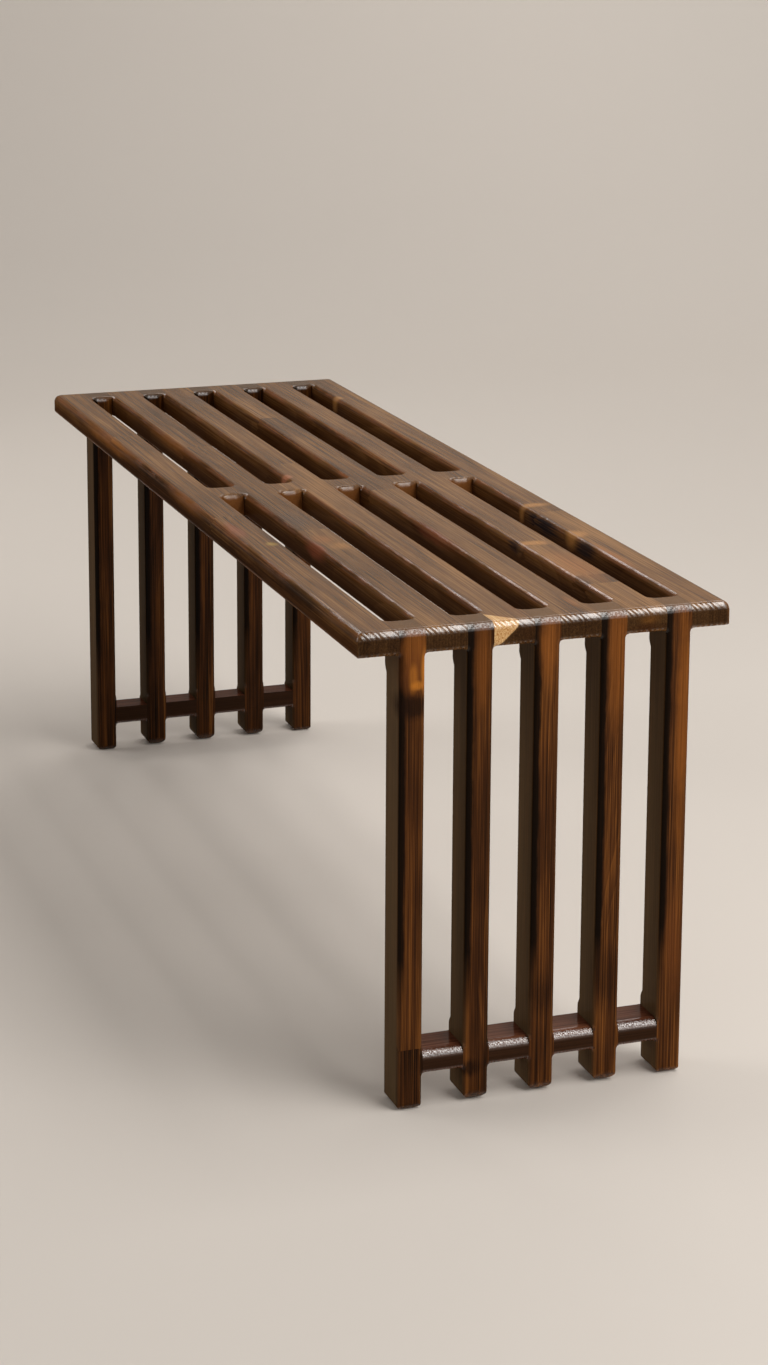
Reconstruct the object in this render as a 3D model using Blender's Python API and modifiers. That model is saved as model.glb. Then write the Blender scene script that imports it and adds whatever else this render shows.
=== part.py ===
"""Slatted bench: full-length slats with legs, mid blocks and low stretcher blocks laminated between.

Metres, +Z up. The origin is on the floor under the middle of the bench, +X runs along the seat,
and Y runs across the slats. Every piece of wood is its own object.
"""
import math

import bmesh
import bpy
from mathutils import Matrix, Vector

# Driving dimensions
SEAT_HEIGHT = 0.450
SEAT_LENGTH = 1.150
SLAT_COUNT = 6
SLAT_WIDTH = 0.039
SLAT_THICKNESS = 0.023
LEG_WIDTH = 0.025
LEG_DEPTH = 0.038
MID_RAIL_WIDTH = 0.042
STRETCHER_UNDERSIDE = 0.033
STRETCHER_THICKNESS = 0.022

# Round-overs, each named for the edges that it softens
OUTER_TOP_RADIUS = 0.008
OUTER_BOTTOM_RADIUS = 0.005
FIRST_CORNER_RADIUS = 0.002
LAST_CORNER_RADIUS = 0.006
SLOT_TOP_RADIUS = 0.007
SLOT_UNDERSIDE_RADIUS = 0.002
WINDOW_RADIUS = 0.0055
FOOT_RADIUS = 0.008
OUTER_FOOT_RADIUS = 0.005
SLOT_BEARING_RADIUS = 0.008
WINDOW_BEARING_RADIUS = 0.004
PASS_RUNOUT = 0.032
STOP_BELOW_SEAT = 0.020
STOP_ABOVE_STRETCHER = 0.012

# Hidden cross dowels that hold the lamination
SEAT_DOWEL_DIAMETER = 0.008
SEAT_DOWEL_SPACING = 0.014
STRETCHER_DOWEL_DIAMETER = 0.008
SLAT_DOWEL_DEPTH = 0.022
LEG_DOWEL_DEPTH = 0.015

# Clearances between neighbouring pieces
GLUE_GAP = 0.0003
DOWEL_CLEARANCE = 0.0003
BIT_CLEARANCE = 0.001
BIT_EASE = 0.00002

# Facets
EDGE_STEPS = 4
PASS_STEPS = 3
CORNER_STEPS = 3
DOWEL_SIDES = 12
SHARP_ANGLE = math.radians(40)

# Roughness of the lacquered and of the bare wood
LACQUER_ROUGHNESS = 0.32
BARE_ROUGHNESS = 0.65

# Worked out from the driving dimensions
PITCH = SLAT_WIDTH + LEG_WIDTH
SEAT_WIDTH = SLAT_COUNT * SLAT_WIDTH + (SLAT_COUNT - 1) * LEG_WIDTH
LEG_COUNT = SLAT_COUNT - 1
HALF_LENGTH = SEAT_LENGTH / 2
HALF_WIDTH = SEAT_WIDTH / 2
SEAT_UNDERSIDE = SEAT_HEIGHT - SLAT_THICKNESS
STRETCHER_TOP = STRETCHER_UNDERSIDE + STRETCHER_THICKNESS
ENDS = {"near": 1, "far": -1}

WOOD_COLOURS = {
    "slat": (0.150, 0.078, 0.038, 1.0),
    "leg": (0.120, 0.055, 0.024, 1.0),
    "mid_block": (0.110, 0.056, 0.028, 1.0),
    "stretcher": (0.085, 0.042, 0.022, 1.0),
    "dowel": (0.520, 0.360, 0.210, 1.0),
}


def start_scene():
    """Remove what is in the scene and make the collections for the bench and for its cutters."""
    for thing in list(bpy.data.objects):
        bpy.data.objects.remove(thing, do_unlink=True)
    made = {}
    for name in ("Slatted bench", "Cutters"):
        collection = bpy.data.collections.new(name)
        bpy.context.scene.collection.children.link(collection)
        made[name] = collection
    return made["Slatted bench"], made["Cutters"]


def wood(kind):
    """The lacquered wood of one kind of piece."""
    material = bpy.data.materials.get(kind + "_wood")
    if material is None:
        material = bpy.data.materials.new(kind + "_wood")
        material.use_nodes = True
        shader = material.node_tree.nodes["Principled BSDF"]
        shader.inputs["Base Color"].default_value = WOOD_COLOURS[kind]
        shader.inputs["Roughness"].default_value = BARE_ROUGHNESS if kind == "dowel" else LACQUER_ROUGHNESS
        shader.inputs["Metallic"].default_value = 0.0
    return material


def slat_centre(number):
    """Y of a slat's centre, with the slats numbered from 1 at the -Y side."""
    return (number - (SLAT_COUNT + 1) / 2) * PITCH


def leg_centre(number):
    """Y of a leg's centre, which is also the centre of the slot in line with it."""
    return (number - (LEG_COUNT + 1) / 2) * PITCH


def link(mesh, name, collection, kind=None):
    """Put a mesh in the scene under the name, with the wood of its kind."""
    item = bpy.data.objects.new(name, mesh)
    collection.objects.link(item)
    if kind:
        mesh.materials.append(wood(kind))
    return item


def board(name, kind, size, centre, rounding, collection):
    """A planed board whose chosen edges are rounded.

    rounding(signs) is given the side of the board that an edge lies on along X, Y and Z, as -1, 0 or 1,
    with 0 along the edge itself, and returns the edge's radius in metres.
    """
    shape = bmesh.new()
    bmesh.ops.create_cube(shape, size=1.0)
    widest = max(OUTER_TOP_RADIUS, OUTER_BOTTOM_RADIUS, LAST_CORNER_RADIUS, FOOT_RADIUS)
    weights = shape.edges.layers.float.new("bevel_weight_edge")
    for edge in shape.edges:
        middle = (edge.verts[0].co + edge.verts[1].co) / 2
        signs = tuple(round(2 * value) for value in middle)
        edge[weights] = rounding(signs) / widest
    bmesh.ops.scale(shape, vec=size, verts=shape.verts)
    mesh = bpy.data.meshes.new(name)
    shape.to_mesh(mesh)
    shape.free()
    item = link(mesh, name, collection, kind)
    item.location = centre
    bevel = item.modifiers.new("Round-overs", "BEVEL")
    bevel.limit_method = "WEIGHT"
    bevel.width = widest
    bevel.segments = EDGE_STEPS
    bevel.use_clamp_overlap = True
    return item


def rounded_rectangle(half_u, half_v, radius):
    """Points round a rectangle with round corners, anticlockwise in its own plane."""
    points = []
    for turn, (side_u, side_v) in enumerate(((1, 1), (-1, 1), (-1, -1), (1, -1))):
        for step in range(CORNER_STEPS + 1):
            angle = math.radians(90 * turn + 90 * step / CORNER_STEPS)
            points.append((
                side_u * (half_u - radius) + radius * math.cos(angle),
                side_v * (half_v - radius) + radius * math.sin(angle),
            ))
    return points


def router_pass(name, opening, face, radius, bearing, collection):
    """The wood that a round-over bit takes as its bearing runs round the inside of an opening.

    opening is (low_u, high_u, low_v, high_v) in the face's plane, and face is one of the frames below:
    its origin lies on the face and its Z axis points out of the wood. The rounding stands off the wood
    by a hair, so that it starts and ends inside a facet and never on an edge that just touches a face.
    """
    low_u, high_u, low_v, high_v = opening
    half_u, half_v = (high_u - low_u) / 2, (high_v - low_v) / 2
    bearing = min(bearing, half_u - GLUE_GAP, half_v - GLUE_GAP)
    profile = [(-GLUE_GAP, -radius - BIT_CLEARANCE)]
    for step in range(PASS_STEPS + 1):
        angle = math.radians(90 * step / PASS_STEPS)
        profile.append((radius * (1 - math.cos(angle)) - BIT_EASE, radius * (math.sin(angle) - 1) + BIT_EASE))
    profile.append((radius, BIT_CLEARANCE))
    shape = bmesh.new()
    rings = []
    for offset, height in profile:
        ring = []
        for u, v in rounded_rectangle(half_u + offset, half_v + offset, bearing + offset):
            ring.append(shape.verts.new((low_u + half_u + u, low_v + half_v + v, height)))
        rings.append(ring)
    count = len(rings[0])
    for lower, upper in zip(rings, rings[1:]):
        for index in range(count):
            after = (index + 1) % count
            shape.faces.new((lower[index], lower[after], upper[after], upper[index]))
    shape.faces.new(rings[-1])
    shape.faces.new(list(reversed(rings[0])))
    bmesh.ops.recalc_face_normals(shape, faces=shape.faces)
    mesh = bpy.data.meshes.new(name)
    shape.to_mesh(mesh)
    shape.free()
    cutter = link(mesh, name, collection)
    cutter.matrix_world = face
    cutter.hide_render = True
    cutter.display_type = "WIRE"
    return cutter


def face_frame(origin, u_axis, v_axis):
    """A frame on a face: u and v run in the face, and the third axis points out of it."""
    u_axis, v_axis = Vector(u_axis), Vector(v_axis)
    out = u_axis.cross(v_axis)
    frame = Matrix((u_axis, v_axis, out)).transposed().to_4x4()
    frame.translation = Vector(origin)
    return frame


def seat_passes(collection):
    """The passes round the slots, on the seat's top and on its underside."""
    top = face_frame((0, 0, SEAT_HEIGHT), (1, 0, 0), (0, 1, 0))
    underside = face_frame((0, 0, SEAT_UNDERSIDE), (1, 0, 0), (0, -1, 0))
    made = []
    for end, side in ENDS.items():
        low_x, high_x = sorted((side * MID_RAIL_WIDTH / 2, side * (HALF_LENGTH - LEG_DEPTH)))
        for number in range(1, LEG_COUNT + 1):
            low_y, high_y = leg_centre(number) - LEG_WIDTH / 2, leg_centre(number) + LEG_WIDTH / 2
            label = f"{end}_slot_{number}"
            made.append(router_pass(label + "_top", (low_x, high_x, low_y, high_y), top,
                                    SLOT_TOP_RADIUS, SLOT_BEARING_RADIUS, collection))
            made.append(router_pass(label + "_underside", (low_x, high_x, -high_y, -low_y), underside,
                                    SLOT_UNDERSIDE_RADIUS, SLOT_BEARING_RADIUS, collection))
    return made


def window_rows(number):
    """The passes round one opening between legs as (name, on the end face, lowest z, highest z).

    Opening 1 and the last one lie outside the outer legs and run down past the floor. The others are
    parted by the stretcher block, and their inner passes stop short of the seat and of the stretcher.
    """
    below = -PASS_RUNOUT
    inner_top = SEAT_UNDERSIDE - STOP_BELOW_SEAT
    if number in (1, SLAT_COUNT):
        return [("outer", True, below, SEAT_UNDERSIDE), ("inner", False, below, inner_top)]
    return [
        ("outer", True, STRETCHER_TOP, SEAT_UNDERSIDE),
        ("inner", False, STRETCHER_TOP + STOP_ABOVE_STRETCHER, inner_top),
        ("foot_outer", True, below, STRETCHER_UNDERSIDE),
        ("foot_inner", False, below, STRETCHER_UNDERSIDE),
    ]


def leg_passes(collection):
    """The passes round the openings between the legs, on the end face and the inner face of each leg row."""
    made = []
    for end, side in ENDS.items():
        outer = face_frame((side * HALF_LENGTH, 0, 0), (0, side, 0), (0, 0, 1))
        inner = face_frame((side * (HALF_LENGTH - LEG_DEPTH), 0, 0), (0, -side, 0), (0, 0, 1))
        for number in range(1, SLAT_COUNT + 1):
            low_y = slat_centre(number) - SLAT_WIDTH / 2 - (PASS_RUNOUT if number == 1 else 0)
            high_y = slat_centre(number) + SLAT_WIDTH / 2 + (PASS_RUNOUT if number == SLAT_COUNT else 0)
            for label, on_end_face, low_z, high_z in window_rows(number):
                face, turn = (outer, side) if on_end_face else (inner, -side)
                low_u, high_u = sorted((turn * low_y, turn * high_y))
                name = f"{end}_window_{number}_{label}"
                made.append(router_pass(name, (low_u, high_u, low_z, high_z), face,
                                        WINDOW_RADIUS, WINDOW_BEARING_RADIUS, collection))
    return made


def dowel_rows():
    """Each hidden dowel as (name, x, z, diameter, half length)."""
    in_slat = HALF_WIDTH - SLAT_WIDTH + SLAT_DOWEL_DEPTH
    in_leg = leg_centre(LEG_COUNT) - LEG_WIDTH / 2 + LEG_DOWEL_DEPTH
    seat_z = SEAT_HEIGHT - SLAT_THICKNESS / 2
    rows = []
    for end, side in ENDS.items():
        middle = side * (HALF_LENGTH - LEG_DEPTH / 2)
        for label, shift in (("outer", side), ("inner", -side)):
            x = middle + shift * SEAT_DOWEL_SPACING / 2
            rows.append((f"{end}_seat_dowel_{label}", x, seat_z, SEAT_DOWEL_DIAMETER, in_slat))
        stretcher_z = STRETCHER_UNDERSIDE + STRETCHER_THICKNESS / 2
        rows.append((f"{end}_stretcher_dowel", middle, stretcher_z, STRETCHER_DOWEL_DIAMETER, in_leg))
        mid_x = side * SEAT_DOWEL_SPACING / 2
        rows.append((f"mid_dowel_{end}", mid_x, seat_z, SEAT_DOWEL_DIAMETER, in_slat))
    return rows


def round_rod(name, x, z, diameter, half_length, collection, kind=None):
    """A straight rod across the bench, with its axis along Y."""
    shape = bmesh.new()
    bmesh.ops.create_cone(shape, cap_ends=True, segments=DOWEL_SIDES, radius1=diameter / 2,
                          radius2=diameter / 2, depth=2 * half_length)
    mesh = bpy.data.meshes.new(name)
    shape.to_mesh(mesh)
    shape.free()
    mesh.shade_smooth()
    mesh.set_sharp_from_angle(angle=SHARP_ANGLE)
    rod = link(mesh, name, collection, kind)
    rod.rotation_euler = (math.pi / 2, 0, 0)
    rod.location = (x, 0, z)
    return rod


def dowels(parts, cutters):
    """The hidden dowels, and the bores that take them."""
    bores = []
    for name, x, z, diameter, half_length in dowel_rows():
        round_rod(name, x, z, diameter, half_length, parts, "dowel")
        bore = round_rod(name + "_bore", x, z, diameter + 2 * DOWEL_CLEARANCE,
                         half_length + DOWEL_CLEARANCE, cutters)
        bore.hide_render = True
        bore.display_type = "WIRE"
        bores.append(bore)
    return bores


def world_box(item):
    """Lowest and highest corner of an object's own mesh, in the world."""
    corners = [item.matrix_world @ vertex.co for vertex in item.data.vertices]
    low = Vector([min(corner[axis] for corner in corners) for axis in range(3)])
    high = Vector([max(corner[axis] for corner in corners) for axis in range(3)])
    return low, high


def cut(item, cutters):
    """Cut the board by each cutter that reaches it."""
    low, high = world_box(item)
    for cutter in cutters:
        cut_low, cut_high = world_box(cutter)
        if all(low[axis] < cut_high[axis] and cut_low[axis] < high[axis] for axis in range(3)):
            boolean = item.modifiers.new(cutter.name, "BOOLEAN")
            boolean.operation = "DIFFERENCE"
            boolean.solver = "EXACT"
            boolean.object = cutter


def slats(collection):
    """The full-length slats, the outer two with a rounded long edge."""
    corners = {1: FIRST_CORNER_RADIUS, SLAT_COUNT: LAST_CORNER_RADIUS}
    size = (SEAT_LENGTH, SLAT_WIDTH, SLAT_THICKNESS)
    boards = []
    for number in range(1, SLAT_COUNT + 1):
        outside = {1: -1, SLAT_COUNT: 1}.get(number)

        def rounding(signs, outside=outside, corner=corners.get(number, 0)):
            """The radius of one edge of this slat."""
            _, along_y, along_z = signs
            if along_z == 0:
                return corner if along_y == outside else 0
            if along_y == 0:
                return OUTER_TOP_RADIUS if along_z > 0 else 0
            if along_y == outside:
                return OUTER_TOP_RADIUS if along_z > 0 else OUTER_BOTTOM_RADIUS
            return 0

        centre = (0, slat_centre(number), SEAT_HEIGHT - SLAT_THICKNESS / 2)
        boards.append(board(f"slat_{number}", "slat", size, centre, rounding, collection))
    return boards


def legs(collection):
    """The legs, whose tops fill the ends of the slots flush with the seat."""
    size = (LEG_DEPTH, LEG_WIDTH - 2 * GLUE_GAP, SEAT_HEIGHT)
    boards = []
    for end, side in ENDS.items():
        for number in range(1, LEG_COUNT + 1):
            foot = OUTER_FOOT_RADIUS if number in (1, LEG_COUNT) else FOOT_RADIUS

            def rounding(signs, side=side, foot=foot):
                """The radius of one edge of this leg."""
                along_x, _, along_z = signs
                if along_z < 0:
                    return foot
                return OUTER_TOP_RADIUS if along_z > 0 and along_x == side else 0

            centre = (side * (HALF_LENGTH - LEG_DEPTH / 2), leg_centre(number), SEAT_HEIGHT / 2)
            boards.append(board(f"{end}_leg_{number}", "leg", size, centre, rounding, collection))
    return boards


def square(_signs):
    """The radius of an edge that is left square."""
    return 0


def mid_blocks(collection):
    """The short blocks that part the slats at mid length."""
    size = (MID_RAIL_WIDTH, LEG_WIDTH - 2 * GLUE_GAP, SLAT_THICKNESS)
    boards = []
    for number in range(1, LEG_COUNT + 1):
        centre = (0, leg_centre(number), SEAT_HEIGHT - SLAT_THICKNESS / 2)
        boards.append(board(f"mid_block_{number}", "mid_block", size, centre, square, collection))
    return boards


def stretchers(collection):
    """The low blocks between neighbouring legs."""
    size = (LEG_DEPTH, SLAT_WIDTH, STRETCHER_THICKNESS)
    boards = []
    for end, side in ENDS.items():
        for number in range(1, LEG_COUNT):
            middle_y = (leg_centre(number) + leg_centre(number + 1)) / 2
            centre = (side * (HALF_LENGTH - LEG_DEPTH / 2), middle_y,
                      STRETCHER_UNDERSIDE + STRETCHER_THICKNESS / 2)
            boards.append(board(f"{end}_stretcher_{number}", "stretcher", size, centre, square, collection))
    return boards


def build():
    """Make every piece and cut it."""
    parts, cutters = start_scene()
    boards = slats(parts) + legs(parts) + mid_blocks(parts) + stretchers(parts)
    tools = seat_passes(cutters) + leg_passes(cutters) + dowels(parts, cutters)
    bpy.context.view_layer.update()
    for item in boards:
        cut(item, tools)


build()
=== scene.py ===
"""The looks of a slatted bench: walnut-stained softwood under satin lacquer, routed and sanded after glue-up.

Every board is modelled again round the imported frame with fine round-overs, and replaces its plain solid.
Boards that are alike are modelled once and copied, each copy with its own mesh and its own wood. The hidden
dowels keep their solids and get a finish of their own. Metres, +Z up, +X along the seat.
"""
import logging
import math
import random
from collections.abc import Callable
from dataclasses import dataclass, field, replace
from enum import Enum

import bpy
from mathutils import Matrix, Vector


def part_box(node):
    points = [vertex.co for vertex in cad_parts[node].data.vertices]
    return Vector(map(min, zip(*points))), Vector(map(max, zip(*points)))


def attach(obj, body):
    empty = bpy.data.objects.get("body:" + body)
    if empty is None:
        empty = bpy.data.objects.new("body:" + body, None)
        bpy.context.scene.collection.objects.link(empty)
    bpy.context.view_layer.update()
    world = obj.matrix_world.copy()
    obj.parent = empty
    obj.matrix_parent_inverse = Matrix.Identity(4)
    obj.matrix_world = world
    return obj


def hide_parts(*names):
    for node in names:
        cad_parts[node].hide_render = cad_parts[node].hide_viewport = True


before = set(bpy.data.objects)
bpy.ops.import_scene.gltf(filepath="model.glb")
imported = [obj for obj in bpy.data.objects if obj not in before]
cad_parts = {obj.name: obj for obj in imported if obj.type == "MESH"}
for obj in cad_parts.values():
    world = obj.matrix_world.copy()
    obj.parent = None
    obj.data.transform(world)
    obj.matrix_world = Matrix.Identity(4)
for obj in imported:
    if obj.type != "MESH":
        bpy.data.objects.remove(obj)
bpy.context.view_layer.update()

LOG = logging.getLogger("slatted_bench")
BODY = "root"
PHOTO_HEIGHT = 1365
TINY = 1e-6
EVEN = 0.5
HALF_TURN = Matrix.Rotation(math.pi, 4, "Z")
Colour = tuple[float, float, float, float]


class Grain(Enum):
    """The axis that a board's grain runs along, as an order of axes: along it, across the board, through it."""

    ALONG_X = (0, 1, 2)
    ALONG_Y = (1, 0, 2)
    ALONG_Z = (2, 1, 0)


class Where(Enum):
    """The side of a board that an edge lies on along one axis."""

    LOW = -1
    MIDDLE = 0
    HIGH = 1


def shade(red: int, green: int, blue: int) -> Colour:
    """Turn a colour of 0 to 255 as seen on a screen into scene linear values.

    Args:
        red: The red level.
        green: The green level.
        blue: The blue level.

    Returns:
        The linear colour with full alpha.
    """
    def linear(level: int) -> float:
        """Undo the screen's curve for one level."""
        part = level / 255
        return part / 12.92 if part <= 0.04045 else ((part + 0.055) / 1.055) ** 2.4

    return (linear(red), linear(green), linear(blue), 1.0)


def grey(level: float) -> Colour:
    """A grey of the given linear level."""
    return (level, level, level, 1.0)


# ---------------------------------------------------------------- finishes

@dataclass(frozen=True)
class Streaks:
    """A texture drawn out along the grain.

    Attributes:
        along: Features a metre along the grain.
        across: Features a metre across it.
        detail: The octaves.
        roughness: How much the finer octaves add.
    """

    along: float
    across: float
    detail: float = 3.0
    roughness: float = 0.6


FIBRES = Streaks(6.0, 800.0, 4.0, 0.66)
HAIRS = Streaks(30.0, 2600.0, 2.0, 0.5)
BANDS = Streaks(3.0, 210.0, 3.0, 0.6)
CLOUDS = Streaks(5.0, 28.0)
SMUDGES = Streaks(26.0, 80.0)
BENDS = Streaks(2.4, 10.0, 2.0, 0.5)


@dataclass(frozen=True)
class Patch:
    """A soft-edged patch of other wood or stain, such as a knot, a smudge or a band at a joint.

    Attributes:
        place: Its centre along the grain, across the face and through the board, from the board's centre.
        size: Its half sizes in the same order.
        colour: Its colour.
        strength: How fully it covers, from 0 to 1.
        pull: How far it bends the growth rings round it, in metres.
    """

    place: tuple[float, float, float]
    size: tuple[float, float, float]
    colour: Colour
    strength: float = 0.7
    pull: float = 0.0


@dataclass(frozen=True)
class Segment:
    """A length of a finger-jointed board, from one joint to the next.

    Attributes:
        start: Where it starts along the grain, in metres from the board's centre.
        tint: How light its wood is, with 0.5 as the board's own tone.
    """

    start: float
    tint: float


@dataclass(frozen=True)
class Character:
    """What is particular to one board.

    Attributes:
        seed: The number that places its grain in the tree.
        lightness: A factor on all its colours.
        segments: Its finger-jointed lengths, in order along the grain.
        patches: Its knots, smudges and bands.
        sapwood: Whether its near end has a pale corner of sapwood.
    """

    seed: int
    lightness: float = 1.0
    segments: tuple[Segment, ...] = ()
    patches: tuple[Patch, ...] = ()
    sapwood: bool = False


@dataclass(frozen=True)
class WoodFinish:
    """Stained and lacquered softwood, with growth rings cut through by the board's faces.

    Attributes:
        dark: The colour of the early wood, where the stain sinks in.
        middle: The board's main colour.
        light: The colour of the hard late wood.
        edge: The colour where the sander thinned the stain along an edge.
        edge_strength: How fully the thinned edges show.
        flank: The colour of the board's sides, which on the slats is partly painted shade on the slot walls and outer
            sides, and on the legs partly a painted grey sheen.
        flank_strength: How fully the sides take it.
        flank_top: The share of it that reaches the sides' upper part, so that the sides darken downwards as painted
            shade.
        painted_edge_shade: How dark the painted shade stands along the front left edge of an upright board, the side
            that faces away from the light.
        amber: How strongly thin amber streaks show on the right of an upright board, the half that faces the light:
            grain streaks with painted light in them.
        end: The colour of the end grain.
        ring: The usual distance between growth rings, in metres.
        contrast: How strongly the rings show.
        fibre: How strongly the fine streaks show.
        band: How strongly the broader streaks show.
        cloud: How strongly the slow changes of tone show.
        steps: How strongly the tone changes from one finger-jointed length to the next.
        roughness: The roughness of the wood under the lacquer.
        coat_top: The weight of the lacquer on faces that look up.
        coat_side: Its weight on upright faces.
        coat_brow: Its weight on round-overs across the bench.
        coat_lip: Its weight on round-overs along the bench.
        coat_ior: The lacquer's index of refraction.
        coat_roughness: How much the lacquer scatters a reflection.
        scratch: How strongly sanding scratches break up the shine on the rounded ends.
        mottle: How strongly the shine on the round-overs is broken up.
        ripple: How much the lacquer ripples on round-overs across the bench.
        peel: How much the lacquer's surface ripples.
    """

    dark: Colour = shade(52, 32, 17)
    middle: Colour = shade(108, 73, 41)
    light: Colour = shade(152, 109, 64)
    edge: Colour = shade(150, 82, 30)
    edge_strength: float = 0.85
    flank: Colour = shade(60, 33, 13)
    flank_strength: float = 0.92
    flank_top: float = 0.6
    painted_edge_shade: float = 0.0
    amber: float = 0.0
    end: Colour = shade(27, 15, 7)
    ring: float = 0.0028
    contrast: float = 0.5
    fibre: float = 1.3
    band: float = 0.4
    cloud: float = 0.6
    steps: float = 0.7
    roughness: float = 0.5
    coat_top: float = 0.40
    coat_side: float = 0.015
    coat_brow: float = 0.85
    coat_lip: float = 0.60
    coat_ior: float = 2.2
    coat_roughness: float = 0.13
    scratch: float = 0.9
    mottle: float = 0.85
    ripple: float = 0.0
    peel: float = 0.5


SEAT_FINISH = WoodFinish()
# The mid blocks' end grain is a light orange brown, unlike the slats' near-black end grain: its own colour with
# painted light in it.
BLOCK_FINISH_PAINTED_LIT_ENDS = replace(SEAT_FINISH, end=shade(124, 76, 38), scratch=0.1, coat_brow=0.32)
LEG_FINISH = WoodFinish(
    dark=shade(24, 13, 5), middle=shade(67, 37, 16), light=shade(116, 70, 30), edge=shade(92, 56, 27),
    edge_strength=0.25, flank=shade(88, 70, 49), flank_strength=0.85, flank_top=1.0, painted_edge_shade=0.94, amber=0.5,
    end=shade(104, 74, 44), ring=0.0022, contrast=0.45, fibre=1.4, band=0.55, cloud=0.9, steps=1.0,
    coat_side=0.04, coat_ior=1.9, scratch=0.15, peel=0.35)
STRETCHER_FINISH = WoodFinish(
    dark=shade(60, 30, 18), middle=shade(100, 58, 40), light=shade(130, 82, 58), edge=shade(104, 62, 36),
    edge_strength=0.5, flank=shade(42, 26, 14), flank_strength=0.92, flank_top=1.0, scratch=0.1, mottle=0.9,
    ripple=3.6, coat_top=0.18, coat_brow=1.0, coat_ior=2.7, coat_roughness=0.10)

TAN = shade(182, 128, 70)
AMBER = shade(134, 78, 31)
GOLD = shade(196, 122, 44)
HONEY = shade(190, 124, 58)
ORANGE = shade(160, 100, 50)
ROSE = shade(150, 84, 58)
CLAY = shade(180, 116, 84)
OLIVE = shade(170, 138, 66)
ASH = shade(84, 66, 56)
RUST = shade(110, 62, 28)
SOOT = shade(34, 30, 34)
UMBER = shade(30, 15, 7)
# The near-black of the painted shade along the legs' front left edge.
EDGE_SHADE_COLOUR = shade(13, 6, 2)
SAP_LOW = shade(176, 112, 54)
SAP_HIGH = shade(234, 198, 142)


# ---------------------------------------------------------------- materials

class Field:
    """A value that varies over a surface, as a node's output. Sums and products of fields add Math nodes."""

    def __init__(self, nodes: "Nodes", socket: bpy.types.NodeSocket) -> None:
        """Keep the nodes and the output."""
        self.nodes, self.socket = nodes, socket

    def __add__(self, other: "Value") -> "Field":
        """Add a value."""
        return self.nodes.math("ADD", self, other)

    def __sub__(self, other: "Value") -> "Field":
        """Take a value away."""
        return self.nodes.math("SUBTRACT", self, other)

    def __rsub__(self, other: float) -> "Field":
        """Take this from a number."""
        return self.nodes.math("SUBTRACT", other, self)

    def __mul__(self, other: "Value") -> "Field":
        """Multiply by a value."""
        return self.nodes.math("MULTIPLY", self, other)

    def __truediv__(self, other: "Value") -> "Field":
        """Divide by a value."""
        return self.nodes.math("DIVIDE", self, other)

    def clamped(self) -> "Field":
        """Keep the sum or product between 0 and 1."""
        self.socket.node.use_clamp = True
        return self

    def step(self, start: float, width: float) -> "Field":
        """Rise from 0 to 1 from start over the width; a negative width makes it a fall that ends at start."""
        return ((self - start) / width).clamped()


Value = float | Field


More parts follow.
